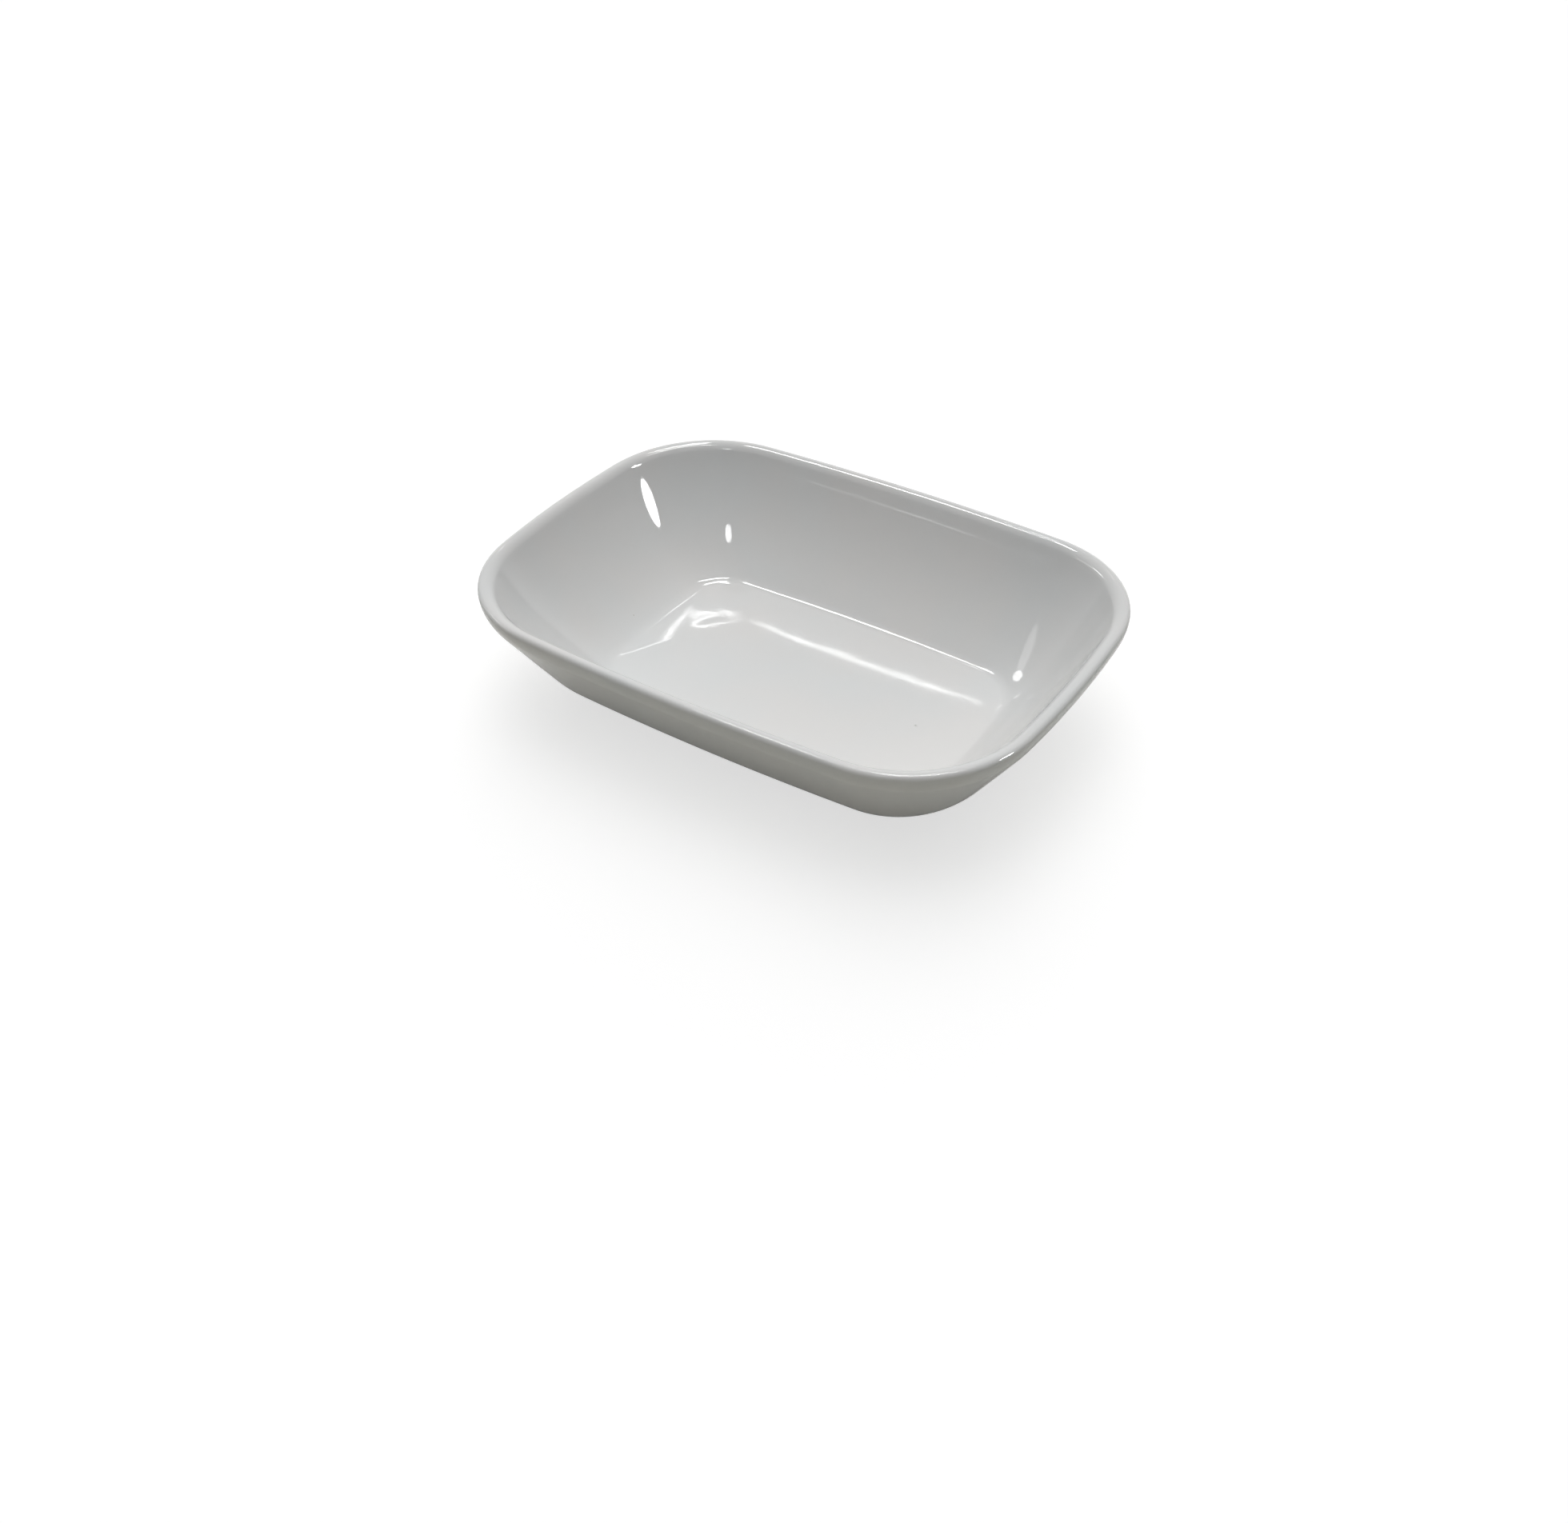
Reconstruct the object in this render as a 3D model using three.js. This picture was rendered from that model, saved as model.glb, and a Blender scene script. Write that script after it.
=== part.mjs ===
// Small oblong porcelain dish: rounded corners, gently bowed sides, flared walls, a rounded rim with a
// tighter outer edge, a flat floor and a low foot ring that is left bare of glaze.
// The clay body and the glaze that is fused over it are separate solids that meet face to face.
// Millimetres, +Z up, +X along the length. The foot stands on z = 0, and the dish is centred on the Z axis.
import * as THREE from "three";

const { clamp, degToRad, lerp } = THREE.MathUtils;

// Overall sizes of the glazed dish
const LENGTH = 160;
const WIDTH = 114;
const HEIGHT = 35;

// Plan outline: the sides bow out along wide arcs, and the corners tighten from the rim down to the floor
const LONG_SIDE_RADIUS = 800;
const SHORT_SIDE_RADIUS = 300;
const RIM_CORNER_RADIUS = 34.5;
const FLOOR_CORNER_RADIUS = 12.5;

// The ends lean out more than the sides: at each level they stand in from the rim by this ratio more
const END_RATIO = 1.06;

// Rim and walls of the long sides, with leans taken from the vertical
const RIM_INNER_RADIUS = 3.25;
const RIM_OUTER_RADIUS = 1.1;
const FLANK_BOW_RADIUS = 8;
const WALL_LEAN = degToRad(33);
const INNER_LEAN_AT_RIM = degToRad(28);
const INNER_LEAN_AT_FLOOR = degToRad(51);
const BELLY_RADIUS = 25.5;
const BELLY_CLEARANCE = 0.5;

// Inside floor: a tight fillet at the wall, a shallow sloping margin, then the flat
const FLOOR_THICKNESS = 3.4;
const FLOOR_FILLET_RADIUS = 4.5;
const MARGIN_WIDTH = 10;
const MARGIN_SLOPE = degToRad(6);
const MARGIN_EASE_RADIUS = 50;

// Foot ring: its outer height up to the glaze line, and the depth of the recess that it rings
const FOOT_HEIGHT = 1.5;
const FOOT_WIDTH = 3.2;
const FOOT_CHAMFER = 0.4;
const RECESS_DEPTH = 1;

const GLAZE_THICKNESS = 0.25;

// Facets along the outline and along the arcs of the profile
const CORNER_STEPS = 8;
const SIDE_HALF_STEPS = 2;
const EASE_STEPS = 2;
const FILLET_STEPS = 3;
const WALL_STEPS = 3;
const RIM_INNER_STEPS = 4;
const RIM_OUTER_STEPS = 3;
const FLANK_BOW_STEPS = 3;
const BELLY_STEPS = 4;

// A corner's radius takes up no more than this share of half the width at its own level
const CORNER_LIMIT = 0.8;

const UPWARDS = Math.PI / 2;

// Draws a profile in lines and arcs, each starting in the direction in which the last one ended.
// x runs outwards and z upwards. Headings turn anticlockwise from outwards, and the glaze faces their left.
class ProfilePen {
  constructor(z) {
    this.points = [];
    this.move({ x: 0, z, heading: 0 });
  }

  move(point) {
    this.points.push(point);
    this.tip = point;
  }

  line(length, heading = this.tip.heading) {
    const x = this.tip.x + length * Math.cos(heading);
    const z = this.tip.z + length * Math.sin(heading);
    this.move({ x, z, heading: this.tip.heading });
  }

  arc(radius, heading, steps) {
    const turn = (heading - this.tip.heading) / steps;
    const chord = 2 * radius * Math.sin(Math.abs(turn) / 2);
    for (let i = 0; i < steps; i++) {
      const start = this.tip.heading;
      this.line(chord, start + turn / 2);
      this.tip.heading = start + turn;
    }
  }
}

// Heights that the inside arcs climb, so that the wall's wide arc takes up what they leave.
const floorZ = RECESS_DEPTH + FLOOR_THICKNESS;
const easeRise = MARGIN_EASE_RADIUS * (1 - Math.cos(MARGIN_SLOPE));
const marginRise = MARGIN_WIDTH * Math.sin(MARGIN_SLOPE);
const filletRise = FLOOR_FILLET_RADIUS * (Math.cos(MARGIN_SLOPE) - Math.sin(INNER_LEAN_AT_FLOOR));
const rimRise = RIM_INNER_RADIUS * (1 - Math.sin(INNER_LEAN_AT_RIM));
const wallRise = HEIGHT - floorZ - easeRise - marginRise - filletRise - rimRise;
const wallRadius = wallRise / (Math.sin(INNER_LEAN_AT_FLOOR) - Math.sin(INNER_LEAN_AT_RIM));

// The outer flank bows out of the rim's outer edge, then runs straight to the belly arc, which would run
// level at its clearance from the table.
const flankTopZ = HEIGHT - RIM_OUTER_RADIUS - FLANK_BOW_RADIUS * Math.sin(WALL_LEAN);
const flankEndZ = BELLY_CLEARANCE + BELLY_RADIUS * (1 - Math.sin(WALL_LEAN));
const flankLength = (flankTopZ - flankEndZ) / Math.cos(WALL_LEAN);
const bellyEnd = -Math.acos((FOOT_HEIGHT - BELLY_CLEARANCE) / BELLY_RADIUS - 1);

// The glazed face from the edge of the flat floor, up the inside, over the rim and down to the foot ring.
const pen = new ProfilePen(floorZ);
pen.arc(MARGIN_EASE_RADIUS, MARGIN_SLOPE, EASE_STEPS);
pen.line(MARGIN_WIDTH);
const floorEdgeX = pen.tip.x;
pen.arc(FLOOR_FILLET_RADIUS, UPWARDS - INNER_LEAN_AT_FLOOR, FILLET_STEPS);
pen.arc(wallRadius, UPWARDS - INNER_LEAN_AT_RIM, WALL_STEPS);
pen.arc(RIM_INNER_RADIUS, 0, RIM_INNER_STEPS);
pen.arc(RIM_OUTER_RADIUS, -UPWARDS, RIM_OUTER_STEPS);
const outermostX = pen.tip.x;
pen.arc(FLANK_BOW_RADIUS, -UPWARDS - WALL_LEAN, FLANK_BOW_STEPS);
pen.line(flankLength);
pen.arc(BELLY_RADIUS, bellyEnd, BELLY_STEPS);

// Profile points by their inset from the outermost outline, on the glaze and then on the clay under it.
const floorEdgeInset = outermostX - floorEdgeX;
const glazedFace = pen.points.map((p) => ({ inset: outermostX - p.x, z: p.z }));
const clayFace = pen.points.map((p) => ({
  inset: outermostX - p.x - GLAZE_THICKNESS * Math.sin(p.heading),
  z: p.z - GLAZE_THICKNESS * Math.cos(p.heading),
}));

// Foot ring, from the clay at the glaze line down, across the bare standing face and up to the recess.
const recessZ = RECESS_DEPTH + GLAZE_THICKNESS;
const footOuterInset = clayFace.at(-1).inset;
const footInnerInset = footOuterInset + FOOT_WIDTH;
const footFace = [
  { inset: footOuterInset, z: FOOT_CHAMFER },
  { inset: footOuterInset + FOOT_CHAMFER, z: 0 },
  { inset: footInnerInset - FOOT_CHAMFER, z: 0 },
  { inset: footInnerInset, z: FOOT_CHAMFER },
  { inset: footInnerInset, z: RECESS_DEPTH },
  { inset: footInnerInset, z: recessZ },
];

// The glaze that fills the recess has the same two last rings, the other way up.
const baseGlazeFace = footFace.slice(-2).reverse();

// One quarter of the plan outline at an inset, from the middle of the +X end to the middle of the +Y side:
// an arc of the short side, the corner arc that touches both sides, and an arc of the long side.
function quarterOutline(inset) {
  const share = clamp(inset / floorEdgeInset, 0, 1);
  const tightened = lerp(RIM_CORNER_RADIUS, FLOOR_CORNER_RADIUS, share);
  const corner = Math.min(tightened, CORNER_LIMIT * (WIDTH / 2 - inset));
  const shortCentre = new THREE.Vector2(LENGTH / 2 - inset * END_RATIO - SHORT_SIDE_RADIUS, 0);
  const longCentre = new THREE.Vector2(0, WIDTH / 2 - inset - LONG_SIDE_RADIUS);
  const shortReach = SHORT_SIDE_RADIUS - corner;
  const longReach = LONG_SIDE_RADIUS - corner;
  const cornerCentre = meetingPoint(shortCentre, shortReach, longCentre, longReach);
  const shortEnd = cornerCentre.clone().sub(shortCentre).angle();
  const longStart = cornerCentre.clone().sub(longCentre).angle();
  return [
    ...arcPoints(shortCentre, SHORT_SIDE_RADIUS, 0, shortEnd, SIDE_HALF_STEPS),
    ...arcPoints(cornerCentre, corner, shortEnd, longStart, CORNER_STEPS).slice(1),
    ...arcPoints(longCentre, LONG_SIDE_RADIUS, longStart, UPWARDS, SIDE_HALF_STEPS).slice(1),
  ];
}

function arcPoints(centre, radius, from, to, steps) {
  return new THREE.EllipseCurve(centre.x, centre.y, radius, radius, from, to).getPoints(steps);
}

// Where two circles cross, on the left of the way from the first centre to the second.
function meetingPoint(first, firstRadius, second, secondRadius) {
  const way = second.clone().sub(first);
  const distance = way.length();
  const along = (firstRadius ** 2 - secondRadius ** 2 + distance ** 2) / (2 * distance);
  const aside = Math.sqrt(firstRadius ** 2 - along ** 2);
  way.divideScalar(distance);
  const left = new THREE.Vector2(-way.y, way.x);
  return first.clone().addScaledVector(way, along).addScaledVector(left, aside);
}

// The whole outline, anticlockwise seen from above, mirrored from one quarter.
function outline(inset) {
  const quarter = quarterOutline(inset);
  const otherQuarter = quarter.slice(0, -1).reverse();
  const half = [...quarter, ...otherQuarter.map((p) => new THREE.Vector2(-p.x, p.y))];
  const otherHalf = half.slice(1, -1).reverse();
  return [...half, ...otherHalf.map((p) => new THREE.Vector2(p.x, -p.y))];
}

// A closed skin over rings that follow a profile from the inside of the dish, over its edge, to the
// underside, with a flat face at each end.
// Facets are split along their shorter diagonal, so that faces that meet match.
function sweep(profile) {
  const rings = profile.map((p) => outline(p.inset).map((q) => new THREE.Vector3(q.x, q.y, p.z)));
  const columns = rings[0].length;
  const vertices = rings.flat();
  const upperHub = vertices.push(new THREE.Vector3(0, 0, profile[0].z)) - 1;
  const lowerHub = vertices.push(new THREE.Vector3(0, 0, profile.at(-1).z)) - 1;
  const lastRing = (rings.length - 1) * columns;
  const faces = [];
  for (let j = 0; j < columns; j++) {
    const k = (j + 1) % columns;
    faces.push(upperHub, j, k);
    faces.push(lowerHub, lastRing + k, lastRing + j);
    for (let ring = 0; ring < lastRing; ring += columns) {
      const [a, b, c, d] = [ring + j, ring + columns + j, ring + columns + k, ring + k];
      const splitsAtA = vertices[a].distanceTo(vertices[c]) < vertices[b].distanceTo(vertices[d]);
      faces.push(...(splitsAtA ? [a, b, c, a, c, d] : [a, b, d, b, c, d]));
    }
  }
  const geometry = new THREE.BufferGeometry().setFromPoints(vertices);
  geometry.setIndex(faces);
  geometry.computeVertexNormals();
  return geometry;
}

function bareClay() {
  return new THREE.MeshStandardMaterial({ color: 0xe9e5da, roughness: 0.75, metalness: 0 });
}

function whiteGlaze() {
  return new THREE.MeshStandardMaterial({ color: 0xe4e8e5, roughness: 0.08, metalness: 0 });
}

function piece(name, profile, material) {
  const mesh = new THREE.Mesh(sweep(profile), material);
  mesh.name = name;
  return mesh;
}

const dish = new THREE.Group();
dish.name = "dish";
dish.add(
  piece("porcelain_body", [...clayFace, ...footFace], bareClay()),
  piece("glaze_coat", [...glazedFace, ...clayFace.toReversed()], whiteGlaze()),
  piece("base_glaze", baseGlazeFace, whiteGlaze()),
);

export default dish;
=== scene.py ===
"""Small oblong porcelain dish: a clay body under a fused white glaze, standing on a bare foot ring.

Metres, in the frame of the solids: +X along the length, +Z up, and the foot on z = 0.
"""

import math

import bpy
from mathutils import Matrix, Vector, noise


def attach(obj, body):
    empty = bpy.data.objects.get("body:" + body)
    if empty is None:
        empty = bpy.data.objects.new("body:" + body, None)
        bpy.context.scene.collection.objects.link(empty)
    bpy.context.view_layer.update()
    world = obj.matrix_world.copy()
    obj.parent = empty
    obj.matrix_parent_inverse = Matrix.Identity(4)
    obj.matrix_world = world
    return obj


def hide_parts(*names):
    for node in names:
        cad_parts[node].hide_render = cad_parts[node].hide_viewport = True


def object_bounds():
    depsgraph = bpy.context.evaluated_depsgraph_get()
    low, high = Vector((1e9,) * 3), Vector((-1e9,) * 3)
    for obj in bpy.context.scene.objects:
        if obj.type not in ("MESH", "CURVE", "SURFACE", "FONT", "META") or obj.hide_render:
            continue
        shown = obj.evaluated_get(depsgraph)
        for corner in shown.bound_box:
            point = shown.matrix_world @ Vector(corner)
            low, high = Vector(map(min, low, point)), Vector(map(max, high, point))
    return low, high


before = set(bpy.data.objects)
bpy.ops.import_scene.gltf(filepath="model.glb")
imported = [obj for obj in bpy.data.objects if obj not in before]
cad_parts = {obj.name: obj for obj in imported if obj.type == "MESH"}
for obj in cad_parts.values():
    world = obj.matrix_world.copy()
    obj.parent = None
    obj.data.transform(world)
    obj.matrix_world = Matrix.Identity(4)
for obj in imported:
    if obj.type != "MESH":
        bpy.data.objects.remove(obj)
cad_low, cad_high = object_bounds()

MM = 0.001
UPWARDS = math.pi / 2

# Overall sizes, from the solids
LENGTH, WIDTH, HEIGHT = cad_high - cad_low

# Plan outline: the sides bow out along wide arcs, and the corners tighten from the rim down to the floor.
# Towards the middle of the floor they also stay below a share of what is left of the half width
LONG_SIDE_RADIUS = 800 * MM
SHORT_SIDE_RADIUS = 300 * MM
RIM_CORNER_RADIUS = 34.5 * MM
FLOOR_CORNER_RADIUS = 12.5 * MM
CORNER_LIMIT = 0.8

# The ends lean out more than the sides: at each level they stand in from the rim by this ratio more
END_RATIO = 1.06

# Rim and walls of the long sides, with leans taken from the vertical
RIM_INNER_RADIUS = 3.25 * MM
RIM_OUTER_RADIUS = 1.1 * MM
FLANK_BOW_RADIUS = 8 * MM
WALL_LEAN = math.radians(33)
INNER_LEAN_AT_RIM = math.radians(28)
INNER_LEAN_AT_FLOOR = math.radians(51)
BELLY_RADIUS = 25.5 * MM
BELLY_CLEARANCE = 0.5 * MM

# Inside floor: a tight fillet at the long sides, which eases out at the ends, and a shallow trough along the
# length, which closes in a scoop at the -X end and reaches on into the wall at the +X end
FLOOR_THICKNESS = 3.4 * MM
FLOOR_FILLET_RADIUS = 4.5 * MM
FLOOR_RISE = 1.32 * MM
FLOOR_EDGE_SLOPE = math.radians(6)
TROUGH_END_INSET = 16.5 * MM
END_EASE = 2.5 * MM
END_EASE_POWER = 12
END_REACH = 3.5 * MM
END_REACH_POWER = 2

# Foot ring, with the glaze turned down its outer face and left rounded where it was wiped off
BELLY_END_HEIGHT = 1.7 * MM
FOOT_TURN_RADIUS = 0.6 * MM
FOOT_WIDTH = 3.2 * MM
FOOT_EDGE_RADIUS = 0.45 * MM
RECESS_DEPTH = 1 * MM
RECESS_FILLET_RADIUS = 0.5 * MM
GLAZE_THICKNESS = 0.25 * MM

# Unevenness that firing leaves in the walls, fading out towards the foot, and the same at each run
WARP = 0.08 * MM
WARP_LENGTH = 30 * MM
WARP_FADE_HEIGHT = 8 * MM
WARP_SEED = 1

# Facets along the outline and along the profile, and the angle from which an edge between them is sharp
CORNER_STEPS = 20
LONG_HALF_STEPS = 16
SHORT_HALF_STEPS = 12
FLOOR_STEPS = 24
FILLET_STEPS = 14
WALL_STEPS = 40
RIM_STEPS = 12
FLANK_STEPS = 12
BELLY_STEPS = 14
NOSE_STEPS = 6
SHARP_ANGLE = math.radians(40)


class ProfilePen:
    """Draws a profile in lines and arcs, each starting in the direction in which the last one ended.

    x runs outwards and z upwards. Headings turn anticlockwise from outwards, and the air is on their left.
    """

    def __init__(self, x, z, heading):
        self.points = [(x, z)]
        self.headings = [heading]

    @property
    def tip(self):
        return self.points[-1]

    def step(self, length, direction, heading):
        x, z = self.tip
        self.points.append((x + length * math.cos(direction), z + length * math.sin(direction)))
        self.headings.append(heading)

    def line(self, length, steps=1):
        heading = self.headings[-1]
        for _ in range(steps):
            self.step(length / steps, heading, heading)

    def arc(self, radius, heading, steps):
        turn = (heading - self.headings[-1]) / steps
        chord = 2 * radius * math.sin(abs(turn) / 2)
        for _ in range(steps):
            start = self.headings[-1]
            self.step(chord, start + turn / 2, start + turn)


def quarter_outline(end_inset, side_inset):
    """From the middle of the +X end to the middle of the +Y side: short side, corner and long side."""
    share = min(max(side_inset / floor_edge_inset, 0), 1)
    tightened = RIM_CORNER_RADIUS + (FLOOR_CORNER_RADIUS - RIM_CORNER_RADIUS) * share
    corner = min(tightened, CORNER_LIMIT * (WIDTH / 2 - side_inset))
    short_centre = Vector((LENGTH / 2 - end_inset - SHORT_SIDE_RADIUS, 0))
    long_centre = Vector((0, WIDTH / 2 - side_inset - LONG_SIDE_RADIUS))
    corner_centre = meeting_point(
        short_centre, SHORT_SIDE_RADIUS - corner, long_centre, LONG_SIDE_RADIUS - corner
    )
    short_end = direction_of(corner_centre - short_centre)
    long_start = direction_of(corner_centre - long_centre)
    short_side = arc_points(short_centre, SHORT_SIDE_RADIUS, 0, short_end, SHORT_HALF_STEPS)
    corner_arc = arc_points(corner_centre, corner, short_end, long_start, CORNER_STEPS)
    long_side = arc_points(long_centre, LONG_SIDE_RADIUS, long_start, UPWARDS, LONG_HALF_STEPS)
    return short_side + corner_arc[1:] + long_side[1:]


def direction_of(way):
    return math.atan2(way.y, way.x)


def arc_points(centre, radius, start, end, steps):
    angles = [start + (end - start) * i / steps for i in range(steps + 1)]
    return [(centre.x + radius * math.cos(a), centre.y + radius * math.sin(a)) for a in angles]


def meeting_point(first, first_radius, second, second_radius):
    """Where two circles cross, on the left of the way from the first centre to the second."""
    way = second - first
    distance = way.length
    along = (first_radius**2 - second_radius**2 + distance**2) / (2 * distance)
    aside = math.sqrt(first_radius**2 - along**2)
    way.normalize()
    return first + way * along + Vector((-way.y, way.x)) * aside


def outline(end_inset, side_inset):
    """The whole outline, anticlockwise seen from above, mirrored from one quarter."""
    quarter = quarter_outline(end_inset, side_inset)
    half = quarter + [(-x, y) for x, y in reversed(quarter[:-1])]
    return half + [(x, -y) for x, y in reversed(half[1:-1])]


def warped(point):
    fade = min(point.z / WARP_FADE_HEIGHT, 1)
    return point + noise.noise_vector(point / WARP_LENGTH) * WARP * fade


def level_ring(end_inset, side_inset, z, dip, reach):
    """One level of the dish. At the +X end it may dip, on a parabola across the width, and reach out."""
    half_width = WIDTH / 2 - side_inset
    stretch = 1 + reach / (LENGTH / 2 - end_inset)
    ring = []
    for x, y in outline(end_inset, side_inset):
        if x > 0:
            fall = dip * (1 - (y / half_width) ** 2)
            ring.append(Vector((x * stretch, y, z - fall)))
        else:
            ring.append(Vector((x, y, z)))
    return ring


def sweep(name, dish_levels):
    """A closed skin over levels, with strips across the width over the first and the last of them."""
    rings = [level_ring(*level) for level in dish_levels]
    columns = len(rings[0])
    vertices = [warped(point) for ring in rings for point in ring]
    last_ring = len(vertices) - columns
    faces = []
    for j in range(columns):
        k = (j + 1) % columns
        for ring in range(0, last_ring, columns):
            faces.append((ring + j, ring + columns + j, ring + columns + k, ring + k))
    for j in range(columns // 2):
        strip = dict.fromkeys((j, j + 1, columns - j - 1, (columns - j) % columns))
        faces.append(tuple(strip))
        faces.append(tuple(last_ring + corner for corner in reversed(strip)))
    mesh = bpy.data.meshes.new(name)
    mesh.from_pydata(vertices, [], faces)
    mesh.shade_smooth()
    mesh.set_sharp_from_angle(angle=SHARP_ANGLE)
    piece = bpy.data.objects.new(name, mesh)
    bpy.context.collection.objects.link(piece)
    return piece


# Heights that the inside arcs climb, so that the wall's wide arc takes up what they leave
floor_z = RECESS_DEPTH + FLOOR_THICKNESS
floor_edge_z = floor_z + FLOOR_RISE
fillet_rise = FLOOR_FILLET_RADIUS * (math.cos(FLOOR_EDGE_SLOPE) - math.sin(INNER_LEAN_AT_FLOOR))
rim_rise = RIM_INNER_RADIUS * (1 - math.sin(INNER_LEAN_AT_RIM))
wall_top_z = HEIGHT - rim_rise
wall_rise = wall_top_z - floor_edge_z - fillet_rise
wall_radius = wall_rise / (math.sin(INNER_LEAN_AT_FLOOR) - math.sin(INNER_LEAN_AT_RIM))

# The outer flank bows out of the rim's outer edge, then runs straight to the belly arc, which would run
# level at its clearance from the table
flank_top_z = HEIGHT - RIM_OUTER_RADIUS - FLANK_BOW_RADIUS * math.sin(WALL_LEAN)
flank_end_z = BELLY_CLEARANCE + BELLY_RADIUS * (1 - math.sin(WALL_LEAN))
flank_length = (flank_top_z - flank_end_z) / math.cos(WALL_LEAN)
belly_end = -math.acos((BELLY_END_HEIGHT - BELLY_CLEARANCE) / BELLY_RADIUS - 1)

# The glazed face from the edge of the floor, up the inside, over the rim and down to the foot ring
glazed = ProfilePen(0, floor_edge_z, FLOOR_EDGE_SLOPE)
glazed.arc(FLOOR_FILLET_RADIUS, UPWARDS - INNER_LEAN_AT_FLOOR, FILLET_STEPS)
glazed.arc(wall_radius, UPWARDS - INNER_LEAN_AT_RIM, WALL_STEPS)
glazed.arc(RIM_INNER_RADIUS, 0, RIM_STEPS)
glazed.arc(RIM_OUTER_RADIUS, -UPWARDS, RIM_STEPS)
floor_edge_inset = glazed.tip[0]
glazed.arc(FLANK_BOW_RADIUS, -UPWARDS - WALL_LEAN, RIM_STEPS)
glazed.line(flank_length, FLANK_STEPS)
glazed.arc(BELLY_RADIUS, belly_end, BELLY_STEPS)
glazed.arc(FOOT_TURN_RADIUS, -UPWARDS, NOSE_STEPS)

# The clay under it, set back square to it by the glaze
clay = [
    (x + GLAZE_THICKNESS * math.sin(heading), z - GLAZE_THICKNESS * math.cos(heading))
    for (x, z), heading in zip(glazed.points, glazed.headings)
]

# The rounded edge where the glaze was wiped off, and the bare foot from there to the recess
nose = ProfilePen(*glazed.tip, -UPWARDS)
nose.arc(GLAZE_THICKNESS / 2, -3 * UPWARDS, NOSE_STEPS)
foot = ProfilePen(*clay[-1], -UPWARDS)
foot.line(clay[-1][1] - FOOT_EDGE_RADIUS)
foot.arc(FOOT_EDGE_RADIUS, -2 * UPWARDS, NOSE_STEPS)
foot.line(FOOT_WIDTH - 2 * FOOT_EDGE_RADIUS)
foot.arc(FOOT_EDGE_RADIUS, -3 * UPWARDS, NOSE_STEPS)
foot.line(RECESS_DEPTH - RECESS_FILLET_RADIUS - FOOT_EDGE_RADIUS)
foot_inner_x, recess_edge_z = foot.tip

# The glaze in the recess creeps a little way down the foot's inner face
recess = ProfilePen(foot_inner_x, recess_edge_z, UPWARDS)
recess.arc(RECESS_FILLET_RADIUS, 2 * UPWARDS, NOSE_STEPS)
recess_roof = [(foot_inner_x, recess_edge_z), (foot_inner_x, RECESS_DEPTH + GLAZE_THICKNESS)]


def levels(points, inside_count=0):
    """Profile points, whose x is 0 at the edge of the floor, as levels.

    On the inside, the ends' ease, dip and reach fade out from the floor to the top of the wall.
    """
    rings = []
    for i, (x, z) in enumerate(points):
        side = floor_edge_inset - x
        depth = (wall_top_z - z) / (wall_top_z - floor_edge_z) if i < inside_count else 0
        end = END_RATIO * side + END_EASE * depth**END_EASE_POWER
        rings.append((end, side, z, FLOOR_RISE * depth, END_REACH * depth**END_REACH_POWER))
    return rings


def trough(middle_z):
    """Levels from the line along the middle of the floor out to its edge, rising on a parabola."""
    rings = []
    for i in range(FLOOR_STEPS):
        share = (i + 0.5) / FLOOR_STEPS
        end = END_RATIO * floor_edge_inset + END_EASE + TROUGH_END_INSET * (1 - share)
        side = WIDTH / 2 - (WIDTH / 2 - floor_edge_inset) * share
        rise = FLOOR_RISE * share**2
        rings.append((end, side, middle_z + rise, rise, END_REACH))
    return rings


inside_steps = FILLET_STEPS + WALL_STEPS
glazed_face = trough(floor_z) + levels(glazed.points, inside_steps)
clay_face = trough(floor_z - GLAZE_THICKNESS) + levels(clay, inside_steps)
foot_face = levels(foot.points[1:])
recess_face = levels(recess.points)
roof_face = levels(recess_roof)

noise.seed_set(WARP_SEED)
body = sweep("dish_body", clay_face + foot_face + roof_face[1:])
glaze = sweep("dish_glaze", glazed_face + levels(nose.points[1:-1]) + clay_face[::-1])
base_glaze = sweep("dish_base_glaze", roof_face[:0:-1] + recess_face)


def noise_texture(tree, coordinates, size, detail):
    texture = tree.nodes.new("ShaderNodeTexNoise")
    texture.inputs["Scale"].default_value = 1 / size
    texture.inputs["Detail"].default_value = detail
    tree.links.new(coordinates, texture.inputs["Vector"])
    return texture.outputs["Fac"]


def spread(tree, value, low, high, start, end):
    """The value's range from low to high, turned into one from start to end."""
    node = tree.nodes.new("ShaderNodeMapRange")
    node.inputs["From Min"].default_value = low
    node.inputs["From Max"].default_value = high
    node.inputs["To Min"].default_value = start
    node.inputs["To Max"].default_value = end
    tree.links.new(value, node.inputs["Value"])
    return node.outputs["Result"]


# The mix node's sockets for colours, by number because its sockets for other kinds have the same names
MIX_COLOUR_INPUTS = (6, 7)
MIX_COLOUR_OUTPUT = 2


def blend_colours(tree, factor, first, second):
    """Either colour may be a plain colour or the output of another node."""
    node = tree.nodes.new("ShaderNodeMix")
    node.data_type = "RGBA"
    tree.links.new(factor, node.inputs["Factor"])
    for number, colour in zip(MIX_COLOUR_INPUTS, (first, second)):
        socket = node.inputs[number]
        if isinstance(colour, tuple):
            socket.default_value = (*colour, 1)
        else:
            tree.links.new(colour, socket)
    return node.outputs[MIX_COLOUR_OUTPUT]


def bump(tree, height, depth, below=None):
    node = tree.nodes.new("ShaderNodeBump")
    node.inputs["Distance"].default_value = depth
    tree.links.new(height, node.inputs["Height"])
    if below is not None:
        tree.links.new(below, node.inputs["Normal"])
    return node.outputs["Normal"]


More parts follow.
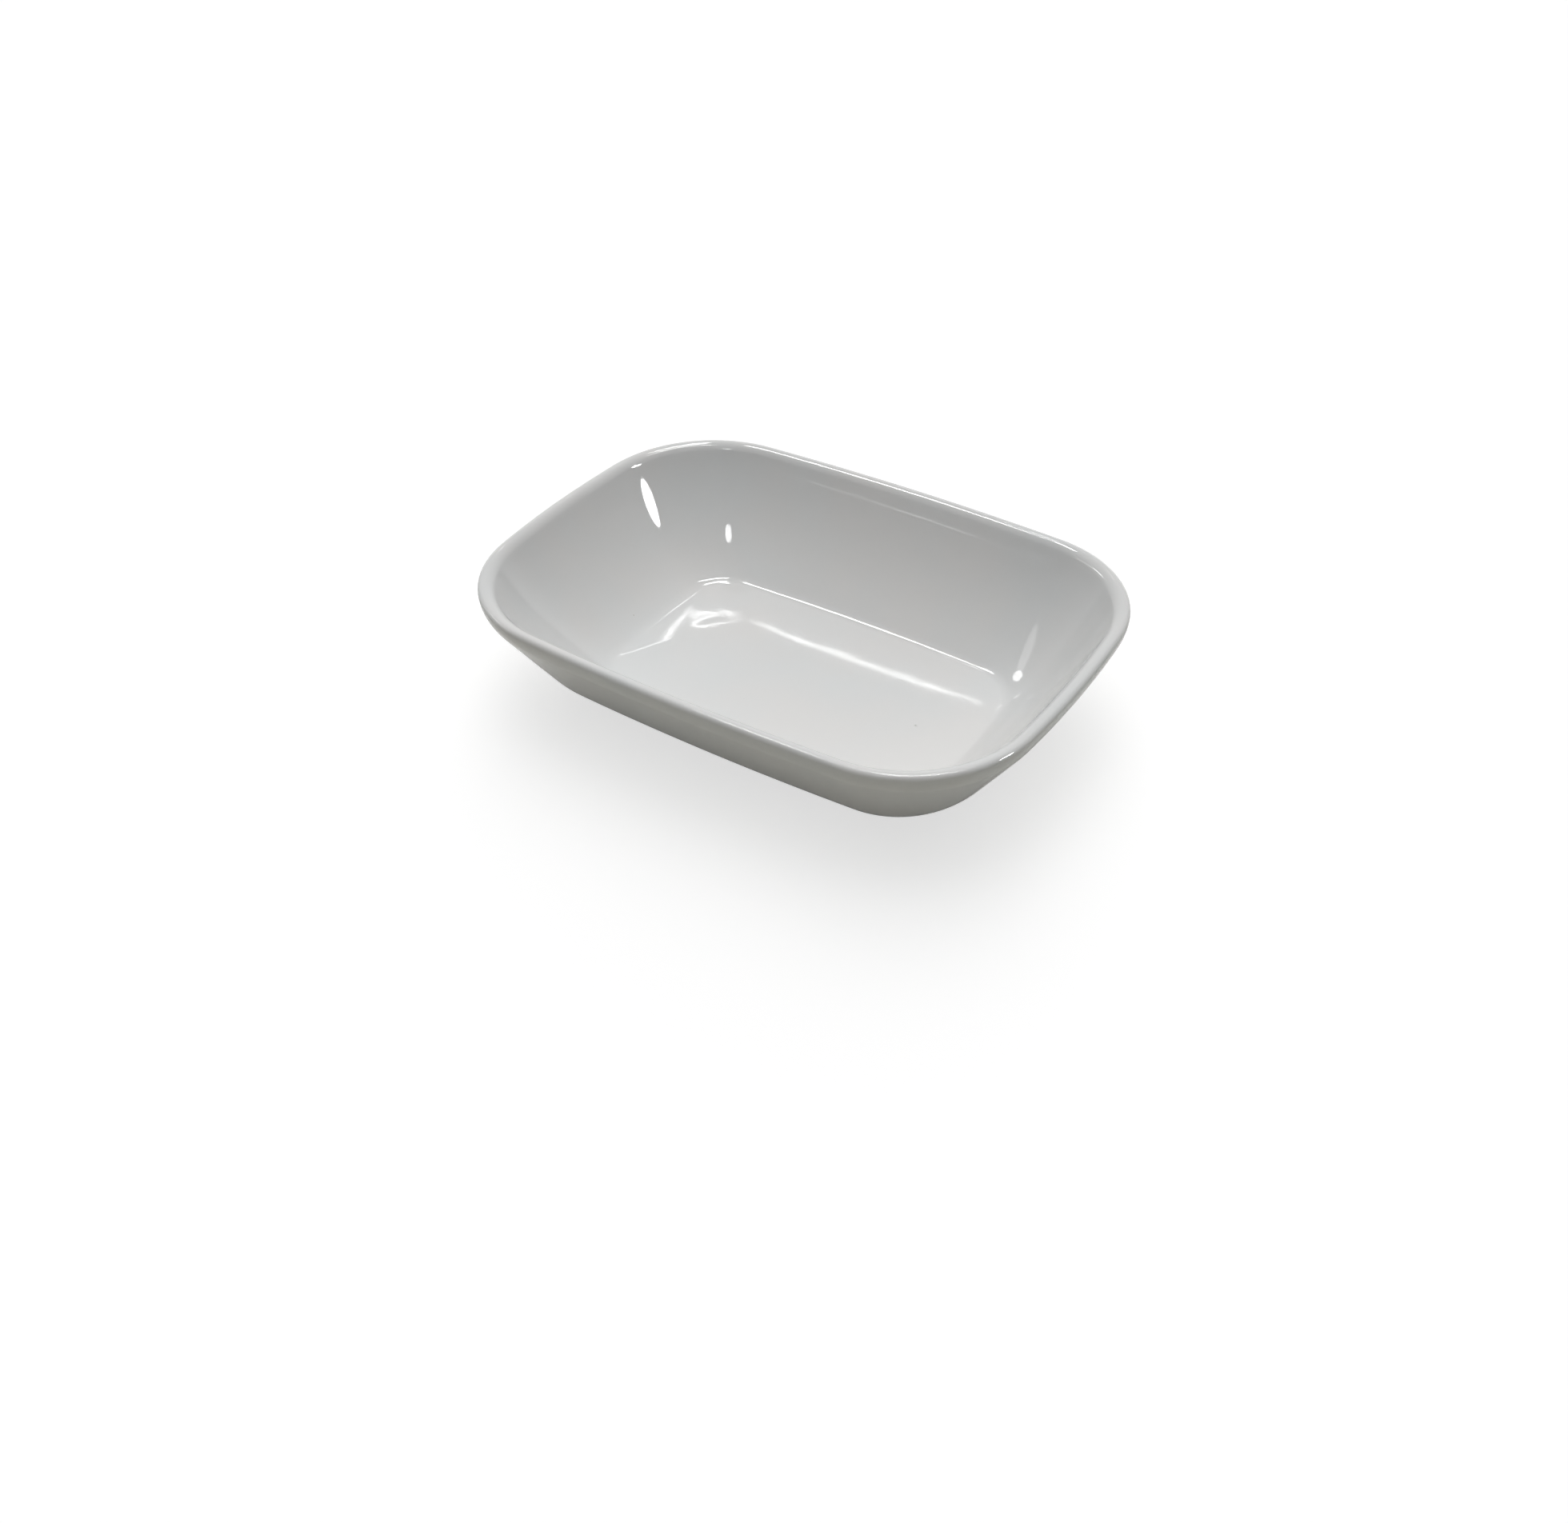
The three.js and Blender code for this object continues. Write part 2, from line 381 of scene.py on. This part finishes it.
def new_material(name):
    material = bpy.data.materials.new(name)
    material.use_nodes = True
    tree = material.node_tree
    shader = tree.nodes["Principled BSDF"]
    coordinates = tree.nodes.new("ShaderNodeTexCoord").outputs["Object"]
    return material, tree, shader, coordinates


# Glaze: two whites that drift into each other, the gloss, the relief, and the specks, whose core and edge are
# shares of their spacing
GLAZE_COOL = (0.785, 0.798, 0.795)
GLAZE_WARM = (0.805, 0.8, 0.788)
DRIFT_SIZE = 30 * MM
GLOSS_SIZE = 4 * MM
GLAZE_SMOOTHEST = 0.03
GLAZE_ROUGHEST = 0.06
RIPPLE_SIZE = 7 * MM
RIPPLE_DEPTH = 0.012 * MM
PEEL_SIZE = 1.2 * MM
PEEL_DEPTH = 0.0015 * MM
SPECK_COLOUR = (0.32, 0.28, 0.2)
SPECK_SPACING = 14 * MM
SPECK_CORE = 0.008
SPECK_EDGE = 0.02
SPECK_STRENGTH = 0.8

# Bare clay: its colour where it is clean and where it is scuffed, its dry patches and its grain
CLAY_PALE = (0.78, 0.75, 0.68)
CLAY_GREY = (0.6, 0.575, 0.52)
SCUFF_SIZE = 5 * MM
DRY_SIZE = 1 * MM
CLAY_SMOOTHEST = 0.6
CLAY_ROUGHEST = 0.85
GRAIN_SIZE = 0.25 * MM
GRAIN_DEPTH = 0.02 * MM


def white_glaze():
    """Glossy white with a faint drift of tone, a fine orange peel and sparse tiny iron specks."""
    material, tree, shader, coordinates = new_material("white_glaze")
    tone = noise_texture(tree, coordinates, DRIFT_SIZE, detail=2)
    drift = spread(tree, tone, low=0.35, high=0.65, start=0, end=1)
    colour = blend_colours(tree, drift, GLAZE_COOL, GLAZE_WARM)
    cells = tree.nodes.new("ShaderNodeTexVoronoi")
    cells.inputs["Scale"].default_value = 1 / SPECK_SPACING
    tree.links.new(coordinates, cells.inputs["Vector"])
    distance = cells.outputs["Distance"]
    specks = spread(tree, distance, low=SPECK_CORE, high=SPECK_EDGE, start=SPECK_STRENGTH, end=0)
    colour = blend_colours(tree, specks, colour, SPECK_COLOUR)
    tree.links.new(colour, shader.inputs["Base Color"])
    gloss = noise_texture(tree, coordinates, GLOSS_SIZE, detail=3)
    roughness = spread(tree, gloss, low=0.3, high=0.7, start=GLAZE_SMOOTHEST, end=GLAZE_ROUGHEST)
    tree.links.new(roughness, shader.inputs["Roughness"])
    ripple = bump(tree, noise_texture(tree, coordinates, RIPPLE_SIZE, detail=1), RIPPLE_DEPTH)
    peel = bump(tree, noise_texture(tree, coordinates, PEEL_SIZE, detail=2), PEEL_DEPTH, ripple)
    tree.links.new(peel, shader.inputs["Normal"])
    return material


def bare_porcelain():
    """Matt fired clay, ground smooth where it stands, with grey scuffs and a fine grain."""
    material, tree, shader, coordinates = new_material("bare_porcelain")
    wear = noise_texture(tree, coordinates, SCUFF_SIZE, detail=5)
    scuffs = spread(tree, wear, low=0.45, high=0.75, start=0, end=1)
    colour = blend_colours(tree, scuffs, CLAY_PALE, CLAY_GREY)
    tree.links.new(colour, shader.inputs["Base Color"])
    dry = noise_texture(tree, coordinates, DRY_SIZE, detail=4)
    roughness = spread(tree, dry, low=0.3, high=0.7, start=CLAY_SMOOTHEST, end=CLAY_ROUGHEST)
    tree.links.new(roughness, shader.inputs["Roughness"])
    grain = bump(tree, noise_texture(tree, coordinates, GRAIN_SIZE, detail=3), GRAIN_DEPTH)
    tree.links.new(grain, shader.inputs["Normal"])
    return material


glaze_material = white_glaze()
glaze.data.materials.append(glaze_material)
base_glaze.data.materials.append(glaze_material)
body.data.materials.append(bare_porcelain())

for piece, node, slot in (
    (body, "porcelain_body", "bare_porcelain"),
    (glaze, "glaze_coat", "white_glaze"),
    (base_glaze, "base_glaze", "white_glaze"),
):
    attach(piece, "root")
    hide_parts(node)

# Floor: near white, with a lifted shadow where the camera sees it, a plain one where the glaze mirrors it,
# and a warm grey where it throws light back on the dish
FLOOR_SIZE = 12
FLOOR_SHOWN = (0.45, 0.45, 0.45)
FLOOR_SHOWN_LIFT = 0.68
FLOOR_MIRRORED = (0.93, 0.93, 0.93)
FLOOR_MIRRORED_LIFT = 0.15
FLOOR_BOUNCE = (0.65, 0.643, 0.581)
WHITE = (1, 1, 1, 1)


def calculate(tree, operation, first, second):
    """Either number may be a plain number or the output of another node."""
    node = tree.nodes.new("ShaderNodeMath")
    node.operation = operation
    for socket, number in zip(node.inputs, (first, second)):
        if isinstance(number, (int, float)):
            socket.default_value = number
        else:
            tree.links.new(number, socket)
    return node.outputs[0]


def shown_and_mirrored(tree):
    """Two numbers that are 1 for what the camera sees, and for what a reflection shows."""
    ray = tree.nodes.new("ShaderNodeLightPath").outputs
    mirrored = calculate(tree, "MAXIMUM", ray["Is Glossy Ray"], ray["Is Transmission Ray"])
    return ray["Is Camera Ray"], mirrored


def floor_material():
    material, tree, shader, _ = new_material("studio_floor")
    shown, mirrored = shown_and_mirrored(tree)
    colour = blend_colours(tree, mirrored, FLOOR_BOUNCE, FLOOR_MIRRORED)
    tree.links.new(blend_colours(tree, shown, colour, FLOOR_SHOWN), shader.inputs["Base Color"])
    shown_lift = calculate(tree, "MULTIPLY", shown, FLOOR_SHOWN_LIFT)
    mirrored_lift = calculate(tree, "MULTIPLY", mirrored, FLOOR_MIRRORED_LIFT)
    tree.links.new(calculate(tree, "ADD", shown_lift, mirrored_lift), shader.inputs["Emission Strength"])
    shader.inputs["Emission Color"].default_value = WHITE
    shader.inputs["Roughness"].default_value = 1
    shader.inputs["Specular IOR Level"].default_value = 0
    return material


half_floor = FLOOR_SIZE / 2
floor_corners = [(x * half_floor, y * half_floor, 0) for x, y in ((-1, -1), (1, -1), (1, 1), (-1, 1))]
floor_mesh = bpy.data.meshes.new("studio_floor")
floor_mesh.from_pydata(floor_corners, [], [(0, 1, 2, 3)])
floor = bpy.data.objects.new("studio_floor", floor_mesh)
floor.data.materials.append(floor_material())
bpy.context.collection.objects.link(floor)

# Studio light: compass directions are anticlockwise from +X, heights above the horizon, in degrees
LAMP_DISTANCE = 5


def towards(compass, height):
    flat = math.cos(math.radians(height))
    return Vector(
        (
            flat * math.cos(math.radians(compass)),
            flat * math.sin(math.radians(compass)),
            math.sin(math.radians(height)),
        )
    )


def glint(name, compass, height, width, depth, brightness, tilt=0):
    """A far, oval lamp that shows only as a highlight in the glaze.

    Its width and depth are angles seen from the dish, and its tilt turns it about the way to the dish.
    """
    lamp = bpy.data.lights.new(name, "AREA")
    lamp.shape = "ELLIPSE"
    lamp.size = 2 * LAMP_DISTANCE * math.tan(math.radians(width) / 2)
    lamp.size_y = 2 * LAMP_DISTANCE * math.tan(math.radians(depth) / 2)
    area = math.pi / 4 * lamp.size * lamp.size_y
    lamp.energy = brightness * math.pi * area
    way = towards(compass, height)
    level = way.to_track_quat("Z", "Y").to_matrix()
    holder = bpy.data.objects.new(name, lamp)
    holder.location = way * LAMP_DISTANCE
    holder.rotation_euler = (level @ Matrix.Rotation(math.radians(tilt), 3, "Z")).to_euler()
    holder.visible_diffuse = False
    bpy.context.collection.objects.link(holder)


glint("behind", compass=123.5, height=41.5, width=8.9, depth=0.4, brightness=10, tilt=-25.2)
glint("behind_left", compass=156, height=62, width=8, depth=8, brightness=22)
glint("behind_high", compass=117, height=63.5, width=13, depth=5, brightness=25, tilt=37)
glint("behind_steep", compass=125.5, height=60, width=14, depth=2.5, brightness=20, tilt=-73)
glint("above", compass=95, height=77, width=26, depth=4, brightness=25, tilt=50)
glint("right", compass=23.2, height=32.4, width=14.5, depth=10, brightness=40, tilt=54.6)
glint("front_left", compass=-84, height=57.5, width=7, depth=7, brightness=14)
glint("low_left", compass=178, height=34.9, width=12, depth=6, brightness=9, tilt=30)
glint("left", compass=196.5, height=34.8, width=27, depth=7, brightness=2, tilt=-2)
glint("front", compass=-117.95, height=23.1, width=0.8, depth=0.5, brightness=3.5)

# Broad soft patches of the world that light the dish: compass, height, tightness and strength
SOFT_PATCHES = ((0, 90, 12, 3.09), (120, 55, 20, 2.62), (120, 15, 6, 1.4))


def studio_world():
    """White where it is seen or mirrored, with the soft patches for the light that falls on the dish."""
    world = bpy.data.worlds.new("studio")
    world.use_nodes = True
    tree = world.node_tree
    way = tree.nodes.new("ShaderNodeTexCoord").outputs["Generated"]
    light = 0
    for compass, height, tightness, strength in SOFT_PATCHES:
        facing = tree.nodes.new("ShaderNodeVectorMath")
        facing.operation = "DOT_PRODUCT"
        facing.inputs[1].default_value = towards(compass, height)
        tree.links.new(way, facing.inputs[0])
        ahead = calculate(tree, "MAXIMUM", facing.outputs["Value"], 0)
        patch = calculate(tree, "POWER", ahead, tightness)
        light = calculate(tree, "ADD", calculate(tree, "MULTIPLY", patch, strength), light)
    seen = calculate(tree, "MAXIMUM", *shown_and_mirrored(tree))
    to_white = calculate(tree, "MULTIPLY", calculate(tree, "SUBTRACT", 1, light), seen)
    background = tree.nodes["Background"]
    background.inputs["Color"].default_value = WHITE
    tree.links.new(calculate(tree, "ADD", light, to_white), background.inputs["Strength"])
    return world


bpy.context.scene.world = studio_world()

# Camera: a short lens close to the dish, looking down on its front right corner. The focal length and the
# picture's width are in pixels, and the sensor's width is in millimetres
CAMERA_PLACE = Vector((206.49, -306.86, 284.12)) * MM
CAMERA_TARGET = Vector((11.92, -26.04, 0)) * MM
CAMERA_ROLL = math.radians(-1.531)
CAMERA_CLIP_START = 10 * MM
FOCAL_LENGTH = 2164
PICTURE_WIDTH = 1960
SENSOR_WIDTH = 36

camera_data = bpy.data.cameras.new("camera")
camera_data.sensor_width = SENSOR_WIDTH
camera_data.lens = SENSOR_WIDTH * FOCAL_LENGTH / PICTURE_WIDTH
camera_data.clip_start = CAMERA_CLIP_START
camera = bpy.data.objects.new("camera", camera_data)
looking_back = (CAMERA_PLACE - CAMERA_TARGET).normalized()
upright = looking_back.to_track_quat("Z", "Y").to_matrix()
turned = upright @ Matrix.Rotation(CAMERA_ROLL, 3, "Z")
camera.matrix_world = Matrix.Translation(CAMERA_PLACE) @ turned.to_4x4()
bpy.context.collection.objects.link(camera)
bpy.context.scene.camera = camera

bpy.context.scene.view_settings.view_transform = "Standard"
